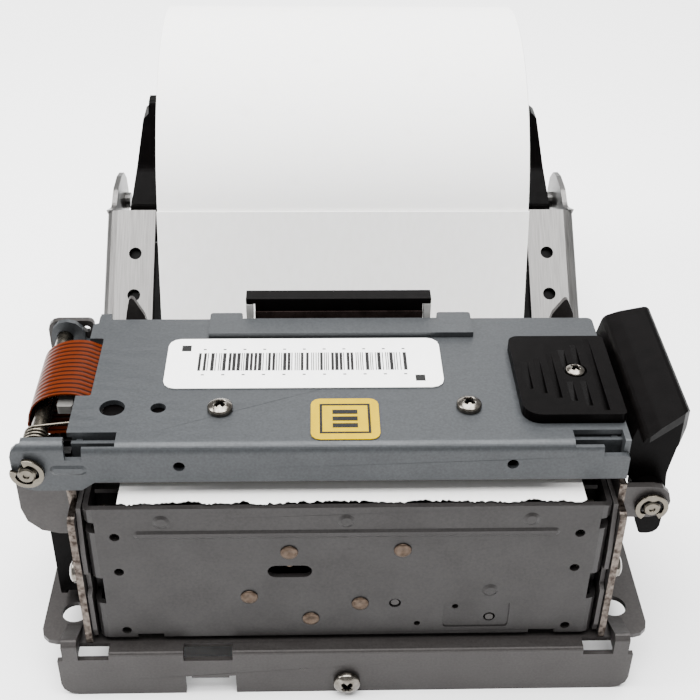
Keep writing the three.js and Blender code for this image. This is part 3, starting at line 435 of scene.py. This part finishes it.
# ---------------------------------------------------------------- pieces in mesh code
def add_piece(name, vertices, faces, body, slot, stands_for=()):
    """A piece on a body, finished like the first of the nodes that it stands for."""
    mesh = bpy.data.meshes.new(name)
    mesh.from_pydata([tuple(v) for v in vertices], [], faces)
    shell = bmesh.new()
    shell.from_mesh(mesh)
    bmesh.ops.remove_doubles(shell, verts=shell.verts, dist=1e-7)
    bmesh.ops.recalc_face_normals(shell, faces=shell.faces)
    shell.to_mesh(mesh)
    shell.free()
    own = OWN_FINISH.get(stands_for[0]) if stands_for else None
    mesh.materials.append(own or FINISHES[slot])
    smooth(mesh)
    piece = bpy.data.objects.new(name, mesh)
    bpy.context.scene.collection.objects.link(piece)
    if stands_for:
        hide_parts(*stands_for)
    if body:
        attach(piece, body)
    return piece


def grid_faces(rows, columns, closed=False):
    """Quads over rows of `columns` points, joined round if closed."""
    faces = []
    last = columns if closed else columns - 1
    for i in range(rows - 1):
        for j in range(last):
            k = (j + 1) % columns
            faces.append((
                i * columns + j,
                i * columns + k,
                (i + 1) * columns + k,
                (i + 1) * columns + j,
            ))
    return faces


def sheet_faces(rows, columns):
    """Faces of a closed sheet made of two layers of rows and columns of points."""
    layer = rows * columns
    top = grid_faces(rows, columns)
    bottom = [tuple(i + layer for i in face[::-1]) for face in top]
    rim = list(range(columns))
    rim += [i * columns + columns - 1 for i in range(1, rows)]
    rim += [(rows - 1) * columns + j for j in range(columns - 2, -1, -1)]
    rim += [i * columns for i in range(rows - 2, 0, -1)]
    edge = [(b, a, a + layer, b + layer) for a, b in zip(rim, rim[1:] + rim[:1])]
    return top + bottom + edge


def turned(profile, count, centre, along, aside):
    """Points of a profile [(radius, height)] turned round `along`, a row for each of its points."""
    other = along.cross(aside)
    points = []
    for radius, height in profile:
        for k in range(count):
            angle = 2 * math.pi * k / count
            spoke = aside * math.cos(angle) + other * math.sin(angle)
            points.append(centre + along * height + spoke * radius)
    return points


def turned_piece(name, profile, centre, along, body, slot, stands_for, count=48):
    """A piece whose profile [(radius, height)] is turned round `along`."""
    aside = along.orthogonal().normalized()
    points = turned(profile, count, centre, along, aside)
    faces = grid_faces(len(profile), count, closed=True)
    return add_piece(name, points, faces, body, slot, stands_for)


def middle(node):
    """The centre of a node's box."""
    low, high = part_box(node)
    return (Vector(low) + Vector(high)) / 2


def half(node):
    """Half the size of a node's box."""
    low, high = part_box(node)
    return (Vector(high) - Vector(low)) / 2


def tube(points, radius):
    """Vertices and faces of a round wire along a path, closed at its ends."""
    sides = 12
    vertices = []
    up = Vector((0, 1, 0))
    for i, point in enumerate(points):
        ahead = points[min(i + 1, len(points) - 1)] - points[max(i - 1, 0)]
        ahead.normalize()
        across = ahead.cross(up)
        if across.length < 0.1:
            across = ahead.cross(Vector((0, 0, 1)))
        across.normalize()
        over = across.cross(ahead)
        for k in range(sides):
            angle = 2 * math.pi * k / sides
            vertices.append(point + (across * math.cos(angle) + over * math.sin(angle)) * radius)
    faces = grid_faces(len(points), sides, closed=True)
    faces.append(tuple(range(sides)))
    faces.append(tuple(range(len(vertices) - sides, len(vertices))))
    return vertices, faces


def curve_through(points, steps):
    """A smooth curve through points, with so many steps between each two."""
    ends = [points[0] * 2 - points[1], *points, points[-1] * 2 - points[-2]]
    out = []
    for a, b, c, d in zip(ends, ends[1:], ends[2:], ends[3:]):
        for k in range(steps):
            t = k / steps
            out.append(0.5 * (
                2 * b
                + (c - a) * t
                + (2 * a - 5 * b + 4 * c - d) * t * t
                + (3 * b - a - 3 * c + d) * t ** 3
            ))
    out.append(points[-1])
    return out


# ---------------------------------------------------------------- screws, rivets and clips
SCREW_SIDES = 96
DOME_RINGS = 26


def screw_recess(radius, x, y, depth):
    """How far the cross recess lies under the head's dome at x, y."""
    reach = 0.52 * radius
    half_width = 0.1 * radius
    end_slope = 0.25 * radius
    wall_slope = 0.09 * radius
    deepest = 0.0
    for along, aside in ((abs(x), abs(y)), (abs(y), abs(x))):
        end = min(1.0, max(0.0, (reach - along) / end_slope))
        wall = min(1.0, max(0.0, (half_width + wall_slope - aside) / wall_slope))
        deepest = max(deepest, end * wall)
    return depth * deepest


def screw_dome(radius, height, base, up, aside):
    """Rings of points over a pan head's dome, sunk where its cross recess is."""
    crown = 0.94 * radius
    fall = 0.42
    roundness = 2.4
    recess_depth = height * 0.8
    other = up.cross(aside)
    points = []
    for i in range(DOME_RINGS + 1):
        share = i / DOME_RINGS
        r = crown * share
        dome = height * (1 - fall * share ** roundness)
        for k in range(SCREW_SIDES):
            angle = 2 * math.pi * k / SCREW_SIDES
            x = r * math.cos(angle)
            y = r * math.sin(angle)
            z = dome - screw_recess(radius, x, y, recess_depth)
            points.append(base + aside * x + other * y + up * z)
    return points


def screw_shank(radius, height, reach):
    """Profile [(radius, height)] of a pan head's rim and, below it, a threaded shank."""
    shank = 1.05 * MM
    root = 0.82 * shank
    pitch = 0.5 * MM
    profile = [
        (radius, height * 0.42),
        (radius, height * 0.06),
        (radius * 0.97, 0),
        (shank, 0),
    ]
    for i in range(int(reach / pitch)):
        profile.append((root, -pitch * (i + 0.5)))
        profile.append((shank, -pitch * (i + 1)))
    profile.append((0, -reach))
    return profile


def pan_screw(node, up, body):
    """A domed pan head with its cross recess coloured dark as painted shade, over a threaded shank."""
    up = Vector(up)
    size = half(node)
    radius = max(size[k] for k in range(3) if abs(up[k]) < 0.5)
    length = 2 * abs(size.dot(up))
    height = 0.7 * radius
    top = middle(node) + up * (length / 2)
    base = top - up * height
    aside = up.orthogonal().normalized()
    other = up.cross(aside)
    shank = screw_shank(radius, height, length - height)
    points = screw_dome(radius, height, base, up, aside)
    points += turned(shank, SCREW_SIDES, base, up, aside)
    faces = grid_faces(DOME_RINGS + 1 + len(shank), SCREW_SIDES, closed=True)
    piece = add_piece("screw_" + node, points, faces, body, "bright_steel", [node])
    # Faces deep in the cross recess get the dark finish: painted shade in the recess.
    piece.data.materials.append(RECESS_SHADE)
    for face in piece.data.polygons:
        spot = face.center - base
        share = screw_recess(radius, spot.dot(aside), spot.dot(other), 1)
        if share > 0.25 and spot.dot(up) > 0.1 * height:
            face.material_index = 1


def rivet(node):
    """A flattened rivet head with a turned rim and a shallow dimple."""
    low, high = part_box(node)
    radius = half(node).x
    front = low[1]
    depth = high[1] - low[1]
    head = 0.3 * MM
    shank = 0.95 * MM
    tip = 0.75 * MM
    chamfer = 0.2 * MM
    profile = [
        (0, 0.07 * MM),
        (radius * 0.3, 0.06 * MM),
        (radius * 0.42, 0.01 * MM),
        (radius * 0.66, 0),
        (radius * 0.86, 0.04 * MM),
        (radius * 0.97, 0.12 * MM),
        (radius, 0.2 * MM),
        (radius, head),
        (shank, head),
        (shank, depth - chamfer),
        (tip, depth),
        (0, depth),
    ]
    centre = middle(node)
    centre.y = front
    turned_piece("head_" + node, profile, centre, Vector((0, 1, 0)), "chassis", "copper", [node])


def e_clip(node, centre, towards, body):
    """A spring clip: a ring open at `towards` degrees, with three lobes that grip the pin."""
    low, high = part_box(node)
    outer = 2.88 * MM
    grip = 1.62 * MM
    slack = 2.05 * MM
    mouth = math.radians(66)
    lobe_reach = 0.36
    steepness = 1.6
    count = 72
    middle_angle = math.radians(towards)
    inner_edge = []
    outer_edge = []
    for k in range(count + 1):
        sweep = mouth / 2 + (2 * math.pi - mouth) * k / count
        share = abs((k / count * 2) % 1 - 0.5) * 2
        lobe = max(0.0, 1 - (1 - share) / lobe_reach)
        radius = slack + (grip - slack) * min(1.0, lobe * steepness)
        angle = middle_angle + sweep
        spoke = Vector((math.cos(angle), 0, math.sin(angle)))
        inner_edge.append(spoke * radius)
        outer_edge.append(spoke * outer)
    ring = outer_edge + inner_edge[::-1]
    points = []
    for y in (low[1], high[1]):
        points += [Vector((centre.x, y, centre.z)) + p for p in ring]
    faces = []
    n = count + 1
    for k in range(count):
        near = (k, k + 1, 2 * n - 2 - k, 2 * n - 1 - k)
        faces.append(near)
        faces.append(tuple(i + 2 * n for i in near))
    for k in range(2 * n):
        j = (k + 1) % (2 * n)
        faces.append((k, j, j + 2 * n, k + 2 * n))
    piece = add_piece("ring_" + node, points, faces, body, "bright_steel", [node])
    wear_and_highlight_edges(piece, "bright_steel")


def grooved_pin(node, clip):
    """A turned pin with chamfered ends, a centre dimple and a groove for its clip."""
    low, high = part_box(node)
    clip_low, clip_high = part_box(clip)
    radius = half(node).x
    chamfer = 0.25 * MM
    groove = (clip_low[1] - low[1], clip_high[1] - low[1])
    groove_radius = radius * 0.8
    length = high[1] - low[1]
    dimple = 0.3 * MM
    profile = [
        (0, dimple),
        (radius * 0.3, dimple),
        (radius * 0.38, 0),
        (radius - chamfer, 0),
        (radius, chamfer),
    ]
    if groove[0] > chamfer:
        profile += [
            (radius, groove[0]),
            (groove_radius, groove[0]),
            (groove_radius, groove[1]),
            (radius, groove[1]),
        ]
    for share in (0.3, 0.6, 0.9):
        profile.append((radius, groove[1] + (length - groove[1] - chamfer) * share))
    profile += [(radius, length - chamfer), (radius - chamfer, length), (0, length)]
    centre = middle(node)
    centre.y = low[1]
    turned_piece("turned_" + node, profile, centre, Vector((0, 1, 0)), "chassis", "bright_steel", [node])


def crank_pin_head(centre):
    """The bright end of the crank's pin, seen through the cutter plate's slot."""
    pin_low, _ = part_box("crank_gear")
    radius = 0.78 * MM
    length = 1 * MM
    throw = 4.1 * MM
    proud = 0.12 * MM
    profile = [
        (0, 0.1 * MM),
        (radius * 0.5, 0.02 * MM),
        (radius * 0.8, 0),
        (radius, 0.15 * MM),
        (radius, length),
        (0, length),
    ]
    start = Vector((centre.x, pin_low[1] - proud, centre.z - throw))
    turned_piece("crank_pin_head", profile, start, Vector((0, 1, 0)), "crank", "copper", [], 24)


# ---------------------------------------------------------------- hinge spring and cable
def torsion_spring(centre):
    """Five coils round the hinge shaft and a leg that reaches under the cover."""
    _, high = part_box("hinge_spring")
    wire = 0.26 * MM
    coil = 2.1 * MM
    turns = 5
    pitch = 0.85 * MM
    steps = 40
    start = high[1] - 0.94 * MM
    path = []
    for k in range(turns * steps + 1):
        angle = k / steps * 2 * math.pi + math.pi / 2
        path.append(Vector((
            centre.x + coil * math.cos(angle),
            start - k / steps * pitch,
            centre.z + coil * math.sin(angle),
        )))
    first = path[0]
    lead = [
        first + Vector((reach, 0.11 * reach, 0.04 * reach)) * MM
        for reach in (6.2, 5, 4, 3, 2, 1)
    ]
    vertices, faces = tube(lead + path, wire)
    add_piece("spring_wire", vertices, faces, "cover", "bright_steel", ["hinge_spring"])


def ribbon_cable(centre):
    """One flat cable from under the cover, round the hinge shaft, to the frame."""
    low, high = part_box("flex_upper")
    route = [
        (9.7, 3.2), (8.1, 3.8), (6.3, 4.6), (4.5, 4.8), (2.5, 4.6), (0.5, 3.9),
        (-1.3, 2.5), (-2.3, 0.7), (-2.7, -1.0), (-2.9, -2.1), (-2.6, -2.95),
        (-1.8, -3.5), (-0.7, -3.8), (1.5, -3.85), (4.7, -3.75), (7.7, -3.7),
    ]
    path = curve_through([Vector((x, 0, z)) * MM for x, z in route], 6)
    thick = 0.14 * MM
    columns = 27
    points = []
    for side in (1, -1):
        for i, point in enumerate(path):
            ahead = path[min(i + 1, len(path) - 1)] - path[max(i - 1, 0)]
            across = Vector((-ahead.z, 0, ahead.x)).normalized()
            for j in range(columns):
                y = low[1] + (high[1] - low[1]) * j / (columns - 1)
                spot = Vector((centre.x, y, centre.z)) + point - across * side * thick
                points.append(spot)
    faces = sheet_faces(len(path), columns)
    piece = add_piece("ribbon_cable", points, faces, None, "orange_film", ["flex_upper", "flex_lower"])
    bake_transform(piece)


# ---------------------------------------------------------------- paper
def torn_end():
    """The printed end of the web, with a ragged tear along its front."""
    low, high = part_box("paper_end")
    rng = random.Random(7)
    columns = 220
    rows = 18
    inset = 0.08 * MM
    mean = 0.7
    drift = 0.2
    memory = 0.86
    jitter = 0.2
    crowding = 1.3
    lift = 0.05 * MM
    ripple = 9
    tear = []
    slow = 0.0
    for j in range(columns + 1):
        slow = memory * slow + rng.uniform(-1, 1) * drift
        tear.append((mean + slow + rng.uniform(-jitter, jitter)) * MM)
    points = []
    for z in (high[2] - inset, low[2] + inset):
        for i in range(rows + 1):
            for j in range(columns + 1):
                x = low[0] + (high[0] - low[0]) * j / columns
                start = low[1] + max(0.0, tear[j])
                y = start + (high[1] - start) * (i / rows) ** crowding
                curl = lift * math.sin(j / columns * ripple) * (1 - i / rows)
                points.append((x, y, z + curl))
    faces = sheet_faces(rows + 1, columns + 1)
    piece = add_piece("torn_paper", points, faces, "chassis", "paper", ["paper_end"])
    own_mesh(piece)


def wound_roll():
    """The paper roll, its sides slightly uneven where the layers shifted in winding."""
    low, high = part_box("paper_roll")
    centre = middle("paper_roll")
    radius = half("paper_roll").z - 0.02 * MM
    width = high[0] - low[0]
    bore = 9.2 * MM
    corner = 0.3 * MM
    rim = 0.25 * MM
    step = 0.05 * MM
    memory = 0.7
    sides = 160
    layers = 44
    rng = random.Random(3)
    near = []
    far = []
    shift = 0.0
    for i in range(layers):
        r = bore + (radius - corner - bore) * i / (layers - 1)
        shift = memory * shift + rng.uniform(0, step)
        near.append((r, shift))
        far.append((r, width - shift))
    face = [(radius, x) for x in (rim, width * 0.3, width * 0.7, width - rim)]
    profile = near + face + far[::-1] + [near[0]]
    start = Vector((0, 0, 0))
    along = Vector((1, 0, 0))
    aside = Vector((0, 0, 1))
    points = turned(profile, sides, start, along, aside)
    faces = grid_faces(len(profile), sides, closed=True)
    piece = add_piece("wound_roll", points, faces, None, "paper", ["paper_roll"])
    piece.location = (low[0], centre.y, centre.z)
    piece.data.materials[0] = wound_paper()
    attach(piece, "roll")


# ---------------------------------------------------------------- labels
def flat_print(name, boxes, label_top):
    """Printed bars given as (x0, x1, y0, y1), as one thin piece on a label of the cover."""
    level = label_top + 0.005 * MM
    thickness = 0.03 * MM
    points = []
    faces = []
    for x0, x1, y0, y1 in boxes:
        n = len(points)
        for z in (level, level + thickness):
            points += [(x0, y0, z), (x1, y0, z), (x1, y1, z), (x0, y1, z)]
        faces += [(n, n + 3, n + 2, n + 1), (n + 4, n + 5, n + 6, n + 7)]
        for k in range(4):
            j = (k + 1) % 4
            faces.append((n + k, n + j, n + j + 4, n + k + 4))
    piece = add_piece(name, points, faces, "cover", "white_label")
    piece.data.materials[0] = INK


def barcode():
    """Bars of random width across the white label, dashes above and below, and two squares."""
    low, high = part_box("white_label")
    bar_widths = (0.16, 0.16, 0.16, 0.5, 0.62)
    gap_widths = (0.2, 0.2, 0.28, 0.45)
    dashes = 11
    dash_length = 0.55 * MM
    dash_width = 0.3 * MM

    def across(share):
        return low[0] + share * (high[0] - low[0])

    def upwards(share):
        return low[1] + share * (high[1] - low[1])

    rng = random.Random(11)
    x = across(0.115)
    bars = []
    while x < across(0.875):
        wide = rng.choice(bar_widths) * MM
        bars.append((x, x + wide, upwards(0.34), upwards(0.70)))
        x += wide + rng.choice(gap_widths) * MM
    for i in range(dashes):
        x = across(0.13 + 0.073 * i)
        for y in (upwards(0.25), upwards(0.765)):
            bars.append((x, x + dash_length, y, y + dash_width))
    for x, y in ((0.05, 0.74), (0.90, 0.12)):  # two corner squares
        bars.append((across(x), across(x + 0.035), upwards(y), upwards(y + 0.12)))
    flat_print("label_bars", bars, high[2])


def plain_marks():
    """A thin frame with three plain bars on the yellow label."""
    low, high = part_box("yellow_label")
    inset = 1.5 * MM
    line = 0.45 * MM
    x0 = low[0] + inset
    x1 = high[0] - inset
    y0 = low[1] + inset
    y1 = high[1] - inset
    marks = [
        (x0, x1, y0, y0 + line),
        (x0, x1, y1 - line, y1),
        (x0, x0 + line, y0 + line, y1 - line),
        (x1 - line, x1, y0 + line, y1 - line),
    ]
    margin = 2.2 * MM
    tall = (y1 - y0) / 7
    first = 1.35
    spacing = 1.6
    for i in range(3):
        y = y0 + tall * (first + spacing * i)
        marks.append((x0 + margin, x1 - margin, y, y + tall))
    flat_print("label_marks", marks, high[2])


# ---------------------------------------------------------------- the whole scene
def joint_at(name):
    """Where a joint of the record lies."""
    places = {joint["name"]: joint.get("pos_m") for joint in RECORD["behaviour"]["joints"]}
    return Vector(places[name])


make_camera()
make_studio()
dress_frame()
pan_screw("tray_screw", (0, -1, 0), "chassis")
pan_screw("side_screw_left", (-1, 0, 0), "chassis")
pan_screw("side_screw_right", (1, 0, 0), "chassis")
for name in ("cover_screw_left", "cover_screw_right", "latch_screw"):
    pan_screw(name, (0, 0, 1), "cover")
for i in range(1, 6):
    rivet(f"rivet_{i}")
hinge = joint_at("cover_hinge")
pivot = joint_at("lever_pivot")
e_clip("hinge_clip", hinge, 135, "chassis")
e_clip("lever_clip", pivot, 270, "chassis")
grooved_pin("hinge_shaft", "hinge_clip")
grooved_pin("lever_pin", "lever_clip")
crank_pin_head(joint_at("crank_turn"))
torsion_spring(hinge)
ribbon_cable(hinge)
torn_end()
wound_roll()
barcode()
plain_marks()
